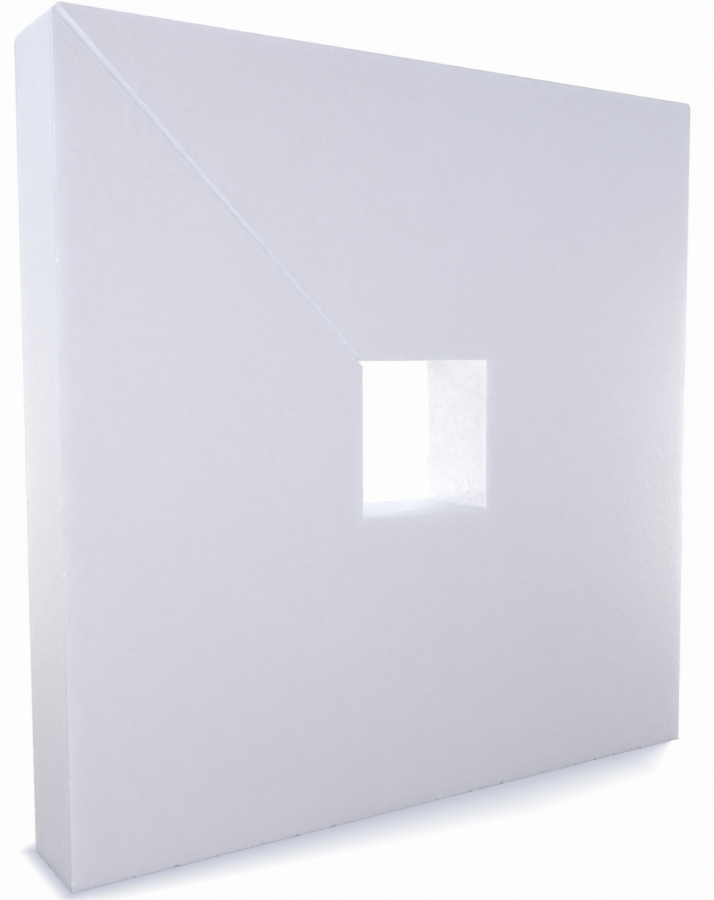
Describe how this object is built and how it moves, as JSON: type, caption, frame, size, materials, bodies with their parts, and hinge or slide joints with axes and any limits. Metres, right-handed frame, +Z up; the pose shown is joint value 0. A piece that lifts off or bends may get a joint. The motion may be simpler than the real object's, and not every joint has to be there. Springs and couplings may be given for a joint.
{
  "type": "foam insulation board",
  "caption": "Square rigid board of white bead foam with a square hole through its middle and a narrow hot-wire slit running from one corner to the hole.",
  "frame": {"origin": "centre of the lower edge on which the board stands, midway through its thickness", "axes": "+Z up, +X to the right seen from the front, +Y through the thickness from the front face to the back face"},
  "size_m": [0.5, 0.07, 0.5],
  "materials": {
    "bead_foam": "matte white expanded bead foam, hot-wire cut"
  },
  "bodies": {
    "root": {"foam_board": "bead_foam"}
  },
  "joints": []
}
